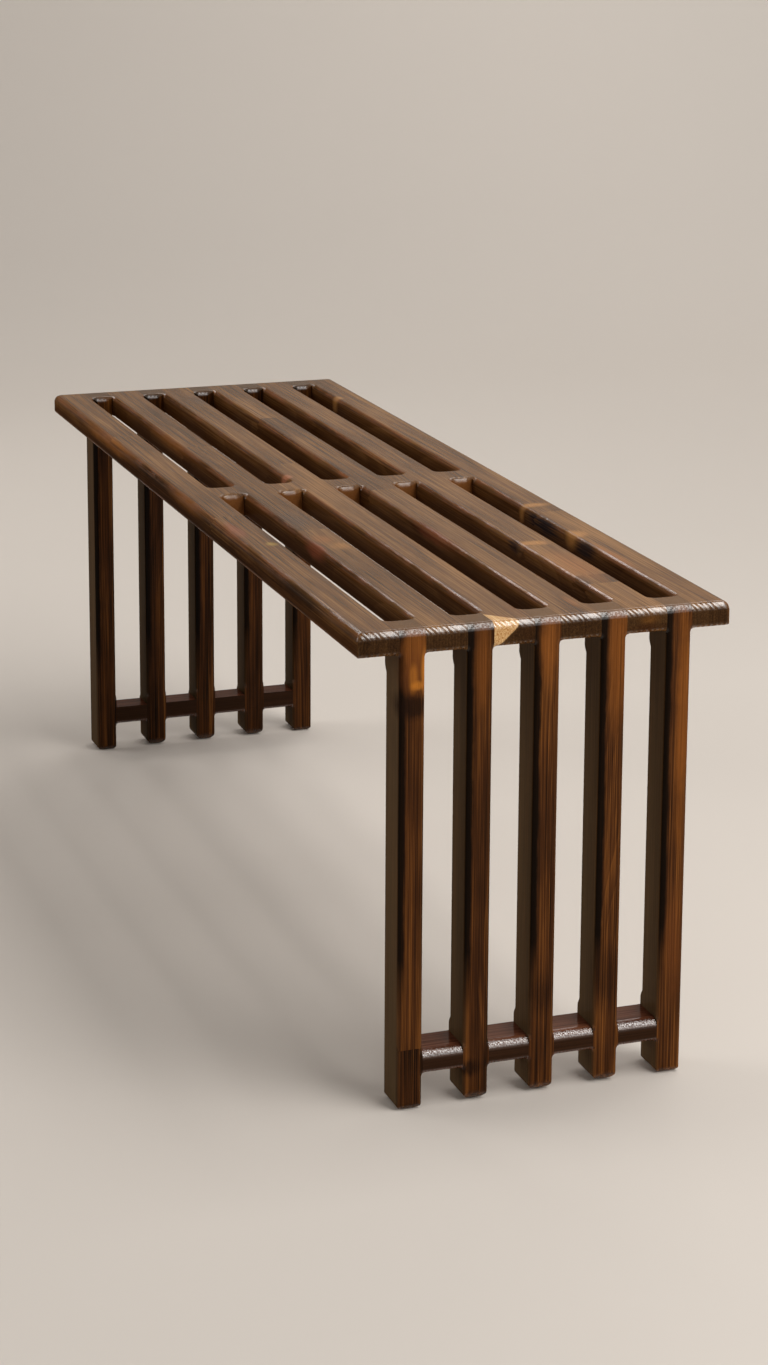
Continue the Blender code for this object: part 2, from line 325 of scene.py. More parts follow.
class Nodes:
    """The nodes of one material or of the world."""

    def __init__(self, owner: bpy.types.Material | bpy.types.World) -> None:
        """Start with no nodes.

        Args:
            owner: The material or the world.
        """
        owner.use_nodes = True
        self.tree = owner.node_tree
        self.tree.nodes.clear()

    def add(self, kind: str, inputs: dict[int | str, object], output: int | str = 0, **settings: object) -> Field:
        """Add a node.

        Args:
            kind: The node's type without its ShaderNode prefix.
            inputs: What its inputs get, by name or place: a constant, or a field that is linked.
            output: The output that is used.
            **settings: The node's other settings.

        Returns:
            The output.
        """
        node = self.tree.nodes.new("ShaderNode" + kind)
        for name, value in settings.items():
            setattr(node, name, value)
        for key, value in inputs.items():
            if isinstance(value, Field):
                self.tree.links.new(value.socket, node.inputs[key])
            else:
                node.inputs[key].default_value = value
        return Field(self, node.outputs[output])

    def show(self, shader: Field, output: str = "OutputMaterial") -> None:
        """Lead a shader to an output node."""
        node = self.tree.nodes.new("ShaderNode" + output)
        self.tree.links.new(shader.socket, node.inputs["Surface"])

    def math(self, operation: str, first: Value, second: Value = 0.0) -> Field:
        """Add a Math node."""
        return self.add("Math", {0: first, 1: second}, operation=operation)

    def noise(self, place: Field, detail: float, roughness: float, scale: float = 1.0) -> Field:
        """Add a Noise Texture."""
        return self.add("TexNoise", {"Vector": place, "Scale": scale, "Detail": detail, "Roughness": roughness}, "Fac")

    def place(self) -> Field:
        """The shaded point's place in its object."""
        return self.add("TexCoord", {}, "Object")

    def combine(self, *values: Value) -> Field:
        """Make a vector of three values."""
        return self.add("CombineXYZ", dict(enumerate(values)))

    def split(self, vector: Field) -> list[Field]:
        """Take a vector's three values apart."""
        return [Field(self, socket) for socket in self.add("SeparateXYZ", {0: vector}).socket.node.outputs]

    def ramp(self, value: Field, stops: list[tuple[float, Colour]], steps: bool = False) -> Field:
        """Add a Color Ramp.

        Args:
            value: What is looked up.
            stops: Positions and colours in order.
            steps: Whether the colour steps from stop to stop.

        Returns:
            The colour.
        """
        colour = self.add("ValToRGB", {0: value}, "Color")
        ramp = colour.socket.node.color_ramp
        ramp.interpolation = "CONSTANT" if steps else "LINEAR"
        ramp.elements[0].position, ramp.elements[0].color = stops[0]
        ramp.elements[1].position, ramp.elements[1].color = stops[-1]
        for position, shown in stops[1:-1]:
            ramp.elements.new(position).color = shown
        return colour

    def mix(self, factor: Value, first: Colour | Field, second: Colour | Field, blend: str = "MIX") -> Field:
        """Mix two colours."""
        return self.add("Mix", {0: factor, 6: first, 7: second}, 2, data_type="RGBA", blend_type=blend)

    def bump(self, height: Field, depth: float, strength: float = 1.0) -> Field:
        """Turn a height into relief, where a height of 1 is as many metres as the depth."""
        return self.add("Bump", {"Strength": strength, "Distance": depth, "Height": height})

    def seen(self) -> Field:
        """Tell the rays that are seen, straight on, mirrored or through glass, from those that only light.

        Returns:
            1 on the rays that are seen and 0 on the others.
        """
        path = self.add("LightPath", {}).socket.node.outputs
        camera, glossy, transmission = (
            Field(self, path[name]) for name in ("Is Camera Ray", "Is Glossy Ray", "Is Transmission Ray"))
        return self.math("MAXIMUM", camera, self.math("MAXIMUM", glossy, transmission))


class BoardWood:
    """The wood of one board, built up as the nodes of its material from fields that vary over the board.

    Attributes:
        finish: The wood's finish.
        grain: The axis that the grain runs along.
        character: What is particular to the board.
        draw: Where the board lies in the tree.
        material: The material.
        nodes: Its nodes.
        place: Where the shaded point lies from the board's centre.
        along: Its place along the grain.
        across: Its place across the face.
        depth: Its place through the board.
        half: Half the board's size in the same order.
        normal: The way the surface faces along X, Y and Z.
        end: How squarely the surface cuts across the grain.
        flank: How squarely the surface faces across the board.
        corner: How near the surface is to the middle of a round-over along the grain.
        brow: How near it is to the middle of a round-over across the bench, between its top and an end face.
        lip: How near it is to the middle of a round-over along the bench, between its top and a side.
        tint: The tone of the finger-jointed length.
        jump: How far the grain jumps from one finger-jointed length to the next.
        shift: The place along the tree.
        steep: The place across the slanting sanding marks.
        fibres, hairs, bands, clouds, smudges, bends: The textures that are drawn out along the grain.
    """

    TREE_SPREAD = 9
    JOINT_TOOTH, TOOTH_DEPTH, JOINT_JUMP, JOINT_BEND = 0.0035, 2.2, 37.0, 0.05
    PATCH_EDGE, PATCH_RAGGED, PATCH_CUT, PATCH_GAIN = (0.4, 0.6), 4.5, 0.15, 1.6
    FIGURE_REACH, PATCH_FIGURE, FLANK_FIGURE = (0.3, 0.7), (0.5, 1.35), (0.78, 1.18)
    PITH_ASIDE, PITH_BELOW, PITH_LEAN = (0.012, 0.055), (0.016, 0.060), 0.022
    RING_SPREAD, RING_BEND, RING_LIFT = (0.85, 1.25), 0.020, 0.72
    RING_PROFILE = ((0.0, 0.1), (0.45, 0.25), (0.82, 0.85), (0.93, 1.0), (1.0, 0.1))
    LATE_WOOD, YEARS, YEAR_RINGS, YEAR_LENGTH = 0.6, 1.15, 1.7, 1.5
    STAIN_STOPS, END_STAIN, LOW_SIDE = (0.12, 0.5, 0.88), 0.75, (-0.35, 0.9)
    WORN, THINNED = (0.40, 0.20), (0.30, 0.40)
    # Where the painted shade along the legs' front left edge lies.
    POOL, POOL_FRONT, POOL_HEIGHT = (0.0050, 0.0025), (0.30, 0.25), (-0.14, 0.06)
    AMBER_FIBRES, AMBER_BANDS, AMBER_SIDE = (0.56, 0.10), (0.50, 0.15), (0.0, 0.006)
    SAP_GRAIN, SAP_EDGE, SAP_SLANT, SAP_STRENGTH = (0.35, 0.30), (0.0026, 0.0014), 1.1, 0.92
    MARK_SLANT, SCRATCH_PITCH, SCRATCH_ACROSS, SCRATCH_DOWN = 0.55, 0.0019, 40.0, 60.0
    TICK_PITCH, TICK_CUT, TICK_BROW, TICK_START = 0.0052, (0.36, 0.16), (0.10, 0.15), 900.0
    TICK_WANDER, WANDER_SCALE, TICK_ROWS, ROWS_SCALE = 1.4, 60.0, (0.66, -0.12), 45.0
    MOTTLE_SCALE, DULL, RUBBED, RUBBED_STRENGTH = 700.0, (0.44, 0.12), (0.58, -0.16), 0.85
    PEEL_SCALE, SWELL_SCALE, HAIR_ROUGHNESS, RELIEF = 620.0, 90.0, 0.16, 0.00012
    FIBRE_HEIGHT, HAIR_HEIGHT, SWELL_HEIGHT, SCRATCH_HEIGHT = 0.5, 0.15, 0.8, 1.6

    def __init__(self, name: str, finish: WoodFinish, grain: Grain, centre: Vector, size: Vector,
                 character: Character) -> None:
        """Start the material, and work out how each point lies and faces and what grain it shows.

        Args:
            name: The board's name.
            finish: The wood's finish.
            grain: The axis that the grain runs along.
            centre: The board's centre.
            size: The board's size.
            character: What is particular to the board.
        """
        self.finish, self.grain, self.character = finish, grain, character
        self.draw = random.Random(character.seed)
        self.material = bpy.data.materials.new(name + "_wood")
        self.nodes = nodes = Nodes(self.material)
        self.place = nodes.add("Mapping", {"Vector": nodes.place(), "Location": -centre})
        places = nodes.split(self.place)
        self.along, self.across, self.depth = (places[axis] for axis in grain.value)
        self.half = [size[axis] / 2 for axis in grain.value]
        self.normal = nodes.split(nodes.add("NewGeometry", {}, "Normal"))
        squares = [value * value for value in self.normal]
        along, across, depth = (squares[axis] for axis in grain.value)
        self.end, self.flank = along * along, across * across
        self.corner, self.brow, self.lip = (
            (first * second * 4.0).clamped()
            for first, second in ((across, depth), (squares[0], squares[2]), (squares[1], squares[2])))
        self.tint = self.finger_joints()
        self.jump = self.tint * self.JOINT_JUMP if character.segments else 0.0
        self.shift = self.along + self.draw.uniform(-self.TREE_SPREAD, self.TREE_SPREAD) + self.jump
        self.steep = self.across + (self.depth - self.along) * self.MARK_SLANT
        self.fibres, self.hairs, self.bands, self.clouds, self.smudges, self.bends = (
            self.drawn_out(kind) for kind in (FIBRES, HAIRS, BANDS, CLOUDS, SMUDGES, BENDS))

    def drawn_out(self, kind: Streaks) -> Field:
        """Noise that is drawn out along the grain."""
        place = self.nodes.combine(self.shift * kind.along, self.across * kind.across, self.depth * kind.across)
        return self.nodes.noise(place, kind.detail, kind.roughness)

    def finger_joints(self) -> Value:
        """Step the tone from one finger-jointed length to the next.

        Returns:
            The tone.
        """
        if not self.character.segments:
            return EVEN
        half = self.half[0]
        teeth = self.nodes.math("PINGPONG", self.depth + 1.0, self.JOINT_TOOTH)
        edge = self.along + teeth * self.TOOTH_DEPTH + half
        stops = [(0.0, grey(EVEN))]
        stops += [((segment.start + half) / (2 * half), grey(segment.tint)) for segment in self.character.segments]
        return self.nodes.ramp((edge / (2 * half)).clamped(), [*stops, (1.0, stops[-1][1])], steps=True)

    def figure(self, levels: tuple[float, float]) -> Field:
        """A grey that follows the fibres between two levels."""
        return self.nodes.ramp(self.fibres, [(place, grey(level)) for place, level in zip(self.FIGURE_REACH, levels)])

    def paint(self) -> bpy.types.Material:
        """Lay the stain, the knots, the end grain, the sapwood and the lacquer over each other.

        Returns:
            The material.
        """
        nodes, finish, character = self.nodes, self.finish, self.character
        ragged = self.smudges * self.PATCH_EDGE[0] + self.fibres * self.PATCH_EDGE[1]
        covers = [self.cover(patch, ragged) for patch in character.patches]
        colour = self.stain(self.rings([pull for patch, (_, pull) in zip(character.patches, covers) if patch.pull]))
        figure = self.figure(self.PATCH_FIGURE)
        for patch, (cover, _) in zip(character.patches, covers):
            colour = nodes.mix(cover, colour, nodes.mix(1.0, figure, patch.colour, "MULTIPLY"))
        colour = nodes.mix(self.end * self.END_STAIN, colour, finish.end)
        if character.sapwood:
            pale = nodes.mix(self.fibres.step(*self.SAP_GRAIN), SAP_LOW, SAP_HIGH)
            colour = nodes.mix(self.sapwood(), colour, pale)
        mottle = nodes.noise(self.place, 3.0, 0.65, self.MOTTLE_SCALE)
        relief = self.relief(mottle)
        nodes.show(nodes.add("BsdfPrincipled", {
            "Base Color": nodes.mix(1.0, colour, grey(character.lightness), "MULTIPLY"),
            "Roughness": (self.hairs - EVEN) * self.HAIR_ROUGHNESS + finish.roughness, "Specular IOR Level": 0.0,
            "Coat Weight": self.lacquer(mottle), "Coat Roughness": finish.coat_roughness,
            "Coat IOR": finish.coat_ior, "Normal": relief, "Coat Normal": relief}))
        return self.material

    def cover(self, patch: Patch, ragged: Field) -> tuple[Field, Field]:
        """Work out where a patch covers the wood and how it bends the rings.

        Args:
            patch: The patch.
            ragged: Noise that breaks up its edge.

        Returns:
            The cover from 0 to 1, and the bend to add to the rings' radius.
        """
        total = (ragged - EVEN) * self.PATCH_RAGGED
        for value, place, size in zip((self.along, self.across, self.depth), patch.place, patch.size):
            part = (value - place) / size
            total = total + part * part
        fall = self.nodes.math("POWER", math.e, total * -1.0)
        cover = ((fall - self.PATCH_CUT) * (self.PATCH_GAIN * patch.strength)).clamped()
        return self.nodes.math("MINIMUM", cover, patch.strength), fall * patch.pull

    def rings(self, pulls: list[Field]) -> Field:
        """Cut growth rings through the board.

        Args:
            pulls: The bends round the knots.

        Returns:
            The rings, with late wood high.
        """
        nodes, draw = self.nodes, self.draw
        from_side = self.across - draw.uniform(*self.PITH_ASIDE) * draw.choice((-1, 1)) + self.jump * self.JOINT_BEND
        from_face = self.depth + draw.uniform(*self.PITH_BELOW)
        lean = self.along * draw.uniform(-self.PITH_LEAN, self.PITH_LEAN)
        centre = nodes.math("SQRT", from_side * from_side + from_face * from_face)
        radius = sum(pulls, centre + (self.bends - EVEN) * self.RING_BEND + lean)
        ring = self.finish.ring * draw.uniform(*self.RING_SPREAD)
        profile = [(place, grey(level)) for place, level in self.RING_PROFILE]
        late = nodes.ramp(nodes.math("FRACT", radius / ring), profile)
        years = nodes.combine(radius / (ring * self.YEAR_RINGS), self.shift * self.YEAR_LENGTH, 0.0)
        return late * self.clouds * self.LATE_WOOD + nodes.noise(years, 3.0, 0.7) * self.YEARS

    def stain(self, rings: Field) -> Field:
        """Colour the faces, the sides and the edges.

        Args:
            rings: The growth rings.

        Returns:
            The colour.
        """
        nodes, finish = self.nodes, self.finish
        tone = (rings - self.RING_LIFT) * finish.contrast + EVEN
        for value, weight in ((self.fibres, finish.fibre), (self.bands, finish.band), (self.clouds, finish.cloud),
                              (self.tint, finish.steps)):
            tone = tone + (value - EVEN) * weight
        colour = nodes.ramp(tone, list(zip(self.STAIN_STOPS, (finish.dark, finish.middle, finish.light))))
        # Painted shade and sheen: the sides take the flank colour, on the slats more fully towards their lower part,
        # darkest deep in the slots.
        side = nodes.mix(1.0, self.figure(self.FLANK_FIGURE), finish.flank, "MULTIPLY")
        low = (self.depth * -1.0).step(*(share * self.half[2] for share in self.LOW_SIDE))
        reach = low * (1.0 - finish.flank_top) + finish.flank_top
        colour = nodes.mix(self.flank * reach * finish.flank_strength, colour, side)
        thinned = nodes.mix(self.fibres.step(*self.THINNED), finish.flank, finish.edge)
        worn = self.smudges.step(*self.WORN) * self.corner * finish.edge_strength
        colour = nodes.mix(worn, colour, thinned)
        # Painted shade: a near-black strip down the front left round-over of the legs, which no light reaches.
        if finish.painted_edge_shade:
            waver = (self.smudges - EVEN) * self.POOL[0]
            front = self.normal[0].step(*self.POOL_FRONT) * self.along.step(*self.POOL_HEIGHT)
            edge_shade = (waver - self.across).step(*self.POOL) * front * finish.painted_edge_shade
            colour = nodes.mix(edge_shade, colour, EDGE_SHADE_COLOUR)
        # Amber grain streaks kept to the right half of the leg, where the light falls: partly grain, partly painted
        # light.
        if finish.amber:
            lines = self.fibres.step(*self.AMBER_FIBRES) * self.bands.step(*self.AMBER_BANDS)
            colour = nodes.mix(lines * self.across.step(*self.AMBER_SIDE) * finish.amber, colour, HONEY)
        return colour

    def sapwood(self) -> Field:
        """The strength of the pale corner at the near end, which has a slanting edge."""
        reach = self.depth * self.SAP_SLANT + (self.along - self.half[0]) - self.across
        return reach.step(*self.SAP_EDGE) * self.SAP_STRENGTH

    def ticks(self) -> Field:
        """Find the rows of slanting cuts that the sander left in the lacquer of the rounded end.

        Returns:
            The cuts, from 0 to 1.
        """
        nodes = self.nodes
        wander = nodes.noise(self.place, 2.0, 0.6, self.WANDER_SCALE) * self.TICK_WANDER
        count = self.steep / self.TICK_PITCH + wander + self.TICK_START
        rows = nodes.noise(self.place, 2.0, 0.5, self.ROWS_SCALE).step(*self.TICK_ROWS)
        return (nodes.math("PINGPONG", count, 0.5) * 2.0).step(*self.TICK_CUT) * rows

    def lacquer(self, mottle: Field) -> Field:
        """Lay the lacquer on, thick on the edges, where it is mottled, cut and rubbed.

        Args:
            mottle: The fine noise of the lacquer.

        Returns:
            The weight of the coat.
        """
        finish = self.finish
        cut = self.ticks() * finish.scratch * self.brow.step(*self.TICK_BROW)
        dull = mottle.step(*self.DULL) * finish.mottle * (self.lip + self.brow)
        if self.grain is Grain.ALONG_X:
            dull = dull * (1.0 - self.brow)
        rubbed = self.smudges.step(*self.RUBBED) * self.lip * self.RUBBED_STRENGTH
        coat = self.normal[2] * self.normal[2] * (finish.coat_top - finish.coat_side) + finish.coat_side
        for edge, weight in ((self.brow, finish.coat_brow), (self.lip, finish.coat_lip)):
            coat = coat + edge * (weight - finish.coat_top / 2)
        return (coat * (1.0 - cut) * (1.0 - dull) * (1.0 - rubbed)).clamped()

    def relief(self, mottle: Field) -> Field:
        """Raise the fibres, ripple the lacquer and score the end grain.

        Args:
            mottle: The fine noise of the lacquer.

        Returns:
            The relief.
        """
        nodes, finish = self.nodes, self.finish
        line = nodes.combine(self.steep / self.SCRATCH_PITCH, self.across * self.SCRATCH_ACROSS,
                             self.depth * self.SCRATCH_DOWN)
        scratches = self.end * nodes.noise(line, 2.0, 0.7)
        peel = nodes.noise(self.place, 2.0, 0.6, self.PEEL_SCALE)
        swell = nodes.noise(self.place, 2.0, 0.5, self.SWELL_SCALE)
        height = mottle * self.brow * finish.ripple
        for value, lift in ((self.fibres, self.FIBRE_HEIGHT), (self.hairs, self.HAIR_HEIGHT), (peel, finish.peel),
                            (swell, self.SWELL_HEIGHT), (scratches, self.SCRATCH_HEIGHT)):
            height = height + value * lift
        return nodes.bump(height, self.RELIEF)


@dataclass(frozen=True)
class DowelFinish:
    """Bare beech for the hidden dowels, with short flecks along the rod.

    Attributes:
        base: The colour of the wood.
        fleck: The colour of the flecks.
        along: Flecks a metre along the rod.
        across: Flecks a metre across it.
        relief: The depth of the flecks.
        relief_strength: How strongly their relief shows.
    """

    base: Colour = shade(196, 158, 116)
    fleck: Colour = shade(158, 116, 78)
    along: float = 120.0
    across: float = 1500.0
    relief: float = 0.0001
    relief_strength: float = 0.4

    def dress(self) -> None:
        """Give every dowel of the frame its finish."""
        for name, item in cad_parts.items():
            if "dowel" not in name:
                continue
            material = bpy.data.materials.new(name + "_beech")
            nodes = Nodes(material)
            x, y, z = nodes.split(nodes.place())
            flecks = nodes.noise(nodes.combine(x * self.across, y * self.along, z * self.across), 3.0, 0.6)
            nodes.show(nodes.add("BsdfPrincipled", {
                "Base Color": nodes.ramp(flecks, [(0.35, self.base), (0.75, self.fleck)]),
                "Roughness": flecks * 0.2 + 0.5, "Normal": nodes.bump(flecks, self.relief, self.relief_strength)}))
            item.data.materials.clear()
            item.data.materials.append(material)
            LOG.info("%s: beech finish", name)


# ---------------------------------------------------------------- modelling

@dataclass
class EdgeRound:
    """A round-over along one edge of a board, made before the boards are glued up.

    Attributes:
        sides: The side of the board that the edge lies on along X, Y and Z.
        radius: The radius in metres.
    """

    sides: tuple[Where, Where, Where]
    radius: float


class Workshop:
    """The modelling moves that every piece is made with."""

    EDGE_SEGMENTS = 8
    SMOOTH_ANGLE = math.radians(28)
    NORMAL_WEIGHT = 60
    FACING_UP = 0.9

    @staticmethod
    def clear_selection() -> None:
        """Leave edit mode and deselect everything."""
        if bpy.context.object and bpy.context.object.mode != "OBJECT":
            bpy.ops.object.mode_set(mode="OBJECT")
        bpy.ops.object.select_all(action="DESELECT")

    @classmethod
    def pick(cls, item: bpy.types.Object) -> None:
        """Select just one object and make it active.

        Args:
            item: The object.
        """
        cls.clear_selection()
        item.select_set(True)
        bpy.context.view_layer.objects.active = item

    @classmethod
    def block(cls, name: str, size: Vector, centre: Vector) -> bpy.types.Object:
        """Add a cube primitive at its size and place, with the place in its mesh.

        Args:
            name: The object's name.
            size: Its size along X, Y and Z.
            centre: Its centre.

        Returns:
            The object.
        """
        cls.clear_selection()
        bpy.ops.mesh.primitive_cube_add(size=1.0, location=centre, scale=size)
        item = bpy.context.object
        item.name = item.data.name = name
        bpy.ops.object.transform_apply(location=True, rotation=True, scale=True)
        return item

    @classmethod
    def copy(cls, item: bpy.types.Object, name: str, move: Matrix) -> bpy.types.Object:
        """Copy an object with a mesh of its own, and move the mesh to its place.

        Args:
            item: What is copied.
            name: The copy's name.
            move: The move from the first one's place.

        Returns:
            The copy.
        """
        cls.pick(item)
        bpy.ops.object.duplicate(linked=False)
        twin = bpy.context.object
        twin.name = twin.data.name = name
        twin.data.transform(move)
        return twin

    @staticmethod
    def start_selecting(item: bpy.types.Object, kind: str) -> None:
        """Deselect all of a mesh in edit mode, and leave edit mode so that its selection can be set.

        Args:
            item: The object.
            kind: EDGE or FACE.
        """
        if item.mode != "EDIT":
            bpy.ops.object.mode_set(mode="EDIT")
        bpy.ops.mesh.select_mode(type=kind)
        bpy.ops.mesh.select_all(action="DESELECT")
        bpy.ops.object.mode_set(mode="OBJECT")

    @classmethod
    def select_edges(cls, item: bpy.types.Object, chosen: Callable[[Vector, Vector], bool]) -> None:
        """Enter edit mode with just the edges for which chosen(first, second) is true.

        Args:
            item: The object.
            chosen: A test of an edge's two ends.
        """
        cls.start_selecting(item, "EDGE")
        points = item.data.vertices
        for edge in item.data.edges:
            first, second = (points[index].co for index in edge.vertices)
            edge.select = bool(chosen(first, second))
        bpy.ops.object.mode_set(mode="EDIT")

    @classmethod
    def select_faces(cls, item: bpy.types.Object, chosen: Callable[[Vector, Vector], bool]) -> None:
        """Enter edit mode with just the faces for which chosen(centre, normal) is true.

        Args:
            item: The object.
            chosen: A test of a face's centre and normal.
        """
        cls.start_selecting(item, "FACE")
        for face in item.data.polygons:
            face.select = bool(chosen(face.center, face.normal))
        bpy.ops.object.mode_set(mode="EDIT")

    @classmethod
    def round_edges(cls, item: bpy.types.Object, size: Vector, centre: Vector, rounds: list[EdgeRound]) -> None:
        """Round edges of a plain block, one bevel weight for each, in a single Bevel that is applied.

        Args:
            item: The block.
            size: Its size.
            centre: Its centre.
            rounds: The edges and their radii.
        """
        if not rounds:
            return
        widest = max(entry.radius for entry in rounds)
        radii = {entry.sides: entry.radius for entry in rounds}
        weights = item.data.attributes.new("bevel_weight_edge", "FLOAT", "EDGE")
        points = item.data.vertices
        for edge in item.data.edges:
            middle = (points[edge.vertices[0]].co + points[edge.vertices[1]].co) / 2 - centre
            sides = tuple(Where(round(2 * middle[axis] / size[axis])) for axis in range(3))
            weights.data[edge.index].value = radii.get(sides, 0.0) / widest
        bevel = item.modifiers.new("Round-overs", "BEVEL")
        bevel.limit_method = "WEIGHT"
        bevel.width = widest
        bevel.segments = cls.EDGE_SEGMENTS
        bpy.ops.object.modifier_apply(modifier=bevel.name)

    @classmethod
    def cut(cls, item: bpy.types.Object, cutters: list[bpy.types.Object]) -> None:
        """Cut a board by each router pass that reaches it.

        Args:
            item: The board.
            cutters: The passes.
        """
        cls.pick(item)
        low, high = cls.reach(item)
        for cutter in cutters:
            cut_low, cut_high = cls.reach(cutter)
            if any(low[axis] >= cut_high[axis] or cut_low[axis] >= high[axis] for axis in range(3)):
                continue
            boolean = item.modifiers.new(cutter.name, "BOOLEAN")
            boolean.operation = "DIFFERENCE"
            boolean.solver = "EXACT"
            boolean.object = cutter
            bpy.ops.object.modifier_apply(modifier=boolean.name)

    @staticmethod
    def reach(item: bpy.types.Object) -> tuple[Vector, Vector]:
        """Find how far an object's mesh reaches.

        Args:
            item: The object.

        Returns:
            Its lowest and its highest corner.
        """
        points = [vertex.co for vertex in item.data.vertices]
        low = Vector([min(point[axis] for point in points) for axis in range(3)])
        high = Vector([max(point[axis] for point in points) for axis in range(3)])
        return low, high

    @classmethod
    def smooth(cls, item: bpy.types.Object) -> None:
        """Shade the round-overs smooth while the flats stay flat.

        Args:
            item: The object.
        """
        cls.pick(item)
        bpy.ops.object.shade_smooth_by_angle(angle=cls.SMOOTH_ANGLE)
        weighted = item.modifiers.new("Flat faces", "WEIGHTED_NORMAL")
        weighted.keep_sharp = True
        weighted.weight = cls.NORMAL_WEIGHT
        bpy.ops.object.modifier_apply(modifier=weighted.name)


@dataclass
class RouterBit:
    """A round-over bit with a guide bearing, and the passes that it makes round openings.

    Attributes:
        radius: The radius that it leaves on an edge, in metres.
        bearing: The radius of its guide bearing, in metres.
        segments: The steps in the rounding.
        corner_segments: The steps in a corner of the opening.
        clear: How far the cutter stands clear of the wood.
    """

    radius: float
    bearing: float
    segments: int = 8
    corner_segments: int = 6
    clear: float = 0.001

    def run(self, name: str, low: tuple[float, float], high: tuple[float, float], face: Matrix) -> bpy.types.Object:
        """Make the wood that one pass takes round the inside of an opening.

        Args:
            name: The pass's name.
            low: The opening's lowest corner in the face's own plane.
            high: Its highest corner.
            face: The face's frame, whose Z axis points out of the wood.

        Returns:
            The cutter.
        """
        width, height = high[0] - low[0], high[1] - low[1]
        depth = self.radius + self.clear
        flange = self.radius + 2 * self.clear
        bearing = min(self.bearing, width / 2 - self.clear / 4, height / 2 - self.clear / 4)
        item = Workshop.block(name, Vector((width, height, depth)), Vector((0, 0, -depth / 2)))
        Workshop.select_edges(item, lambda first, second: abs(first.z - second.z) > depth / 2)
        bpy.ops.mesh.bevel(offset=bearing, offset_type="OFFSET", segments=self.corner_segments, affect="EDGES")
        Workshop.select_faces(item, lambda centre, normal: normal.z > Workshop.FACING_UP)
        bpy.ops.mesh.extrude_region_move()
        bpy.ops.transform.resize(value=(1 + 2 * flange / width, 1 + 2 * flange / height, 1.0))
        bpy.ops.mesh.extrude_region_move(TRANSFORM_OT_translate={"value": (0, 0, self.clear)})
        inner = Vector((width + flange, height + flange)) / 2
        Workshop.select_edges(item, lambda first, second: all(
            abs(point.z) < TINY and abs(point.x) < inner.x and abs(point.y) < inner.y for point in (first, second)))
        bpy.ops.mesh.bevel(offset=self.radius, offset_type="OFFSET", segments=self.segments, affect="EDGES")
        bpy.ops.mesh.select_all(action="SELECT")
        bpy.ops.mesh.normals_make_consistent(inside=False)
        bpy.ops.object.mode_set(mode="OBJECT")
        item.data.transform(face @ Matrix.Translation(((low[0] + high[0]) / 2, (low[1] + high[1]) / 2, 0)))
        return item


def face_frame(origin: tuple, u_axis: tuple, v_axis: tuple) -> Matrix:
    """A frame on a face.

    Args:
        origin: A point on the face.
        u_axis: The first axis in the face.
        v_axis: The second axis in the face.

    Returns:
        The frame, whose third axis points out of the face.
    """
    first, second = Vector(u_axis), Vector(v_axis)
    turned = Matrix((first, second, first.cross(second))).transposed().to_4x4()
    turned.translation = Vector(origin)
    return turned


@dataclass
class BenchPlan:
    """The sizes that every sub-assembly shares, the boards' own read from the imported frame.

    Attributes:
        slat_count: How many slats there are.
        glue_line: The gap that shows as a glue line at each side of a leg or mid block.
        top_radius: The round-over of the seat's outer top edges.
        slot_radius: The round-over of the slots on the seat's top.
        bottom_radius: The round-over under the seat's long sides.
        window_radius: The round-over of the openings between the legs.
        underside_radius: The round-over of the slots on the underside.
        first_corner_radius: The radius of the upright corners of the first slat.
        last_corner_radius: The radius of the upright corners of the last slat.
        foot_radius: The round-over of the inner legs' feet.
        outer_foot_radius: The round-over of the outer legs' feet.
        slot_bearing: The radius left in a slot's corners.
        window_bearing: The radius left in a leg opening's corners.
        runout: How far a pass runs past the wood.
        stop_below_seat: How far below the seat the inner passes stop.
        stop_above_stretcher: How far above the stretcher they stop.
        bar_radius: The round-over on the outer top edge of the stretcher blocks.
    """

    slat_count: int = 6
    glue_line: float = 0.0001
    top_radius: float = 0.008
    slot_radius: float = 0.007
    bottom_radius: float = 0.005
    window_radius: float = 0.0055
    underside_radius: float = 0.002
    first_corner_radius: float = 0.002
    last_corner_radius: float = 0.006
    foot_radius: float = 0.0115
    outer_foot_radius: float = 0.0075
    bar_radius: float = 0.009
    slot_bearing: float = 0.008
    window_bearing: float = 0.004
    runout: float = 0.032
    stop_below_seat: float = 0.020
    stop_above_stretcher: float = 0.012

    def __post_init__(self) -> None:
        """Read the places of the boards from the frame."""
        low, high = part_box("slat_1")
        leg_low, leg_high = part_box("near_leg_1")
        rail_low, rail_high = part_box("mid_block_1")
        bar_low, bar_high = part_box("near_stretcher_1")
        second_low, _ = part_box("slat_2")
        self.length, self.end = high.x - low.x, high.x
        self.top, self.underside = high.z, low.z
        self.slat_width = high.y - low.y
        self.leg_width = second_low.y - high.y
        self.leg_depth = leg_high.x - leg_low.x
        self.rail_width = rail_high.x - rail_low.x
        self.bar_low, self.bar_high = bar_low.z, bar_high.z
        self.pitch = self.slat_width + self.leg_width
        self.leg_count = self.slat_count - 1
        self.thickness = self.top - self.underside
        self.middle_z = (self.top + self.underside) / 2

    def slat_y(self, number: int) -> float:
        """The centre of a slat, numbered from 1."""
        return (number - (self.slat_count + 1) / 2) * self.pitch

    def leg_y(self, number: int) -> float:
        """The centre of a leg and of the slot in line with it, numbered from 1."""
        return (number - (self.leg_count + 1) / 2) * self.pitch

    def along_row(self, steps: int) -> Matrix:
        """The move from one slat, slot or leg to the one so many places on."""
        return Matrix.Translation((0, steps * self.pitch, 0))


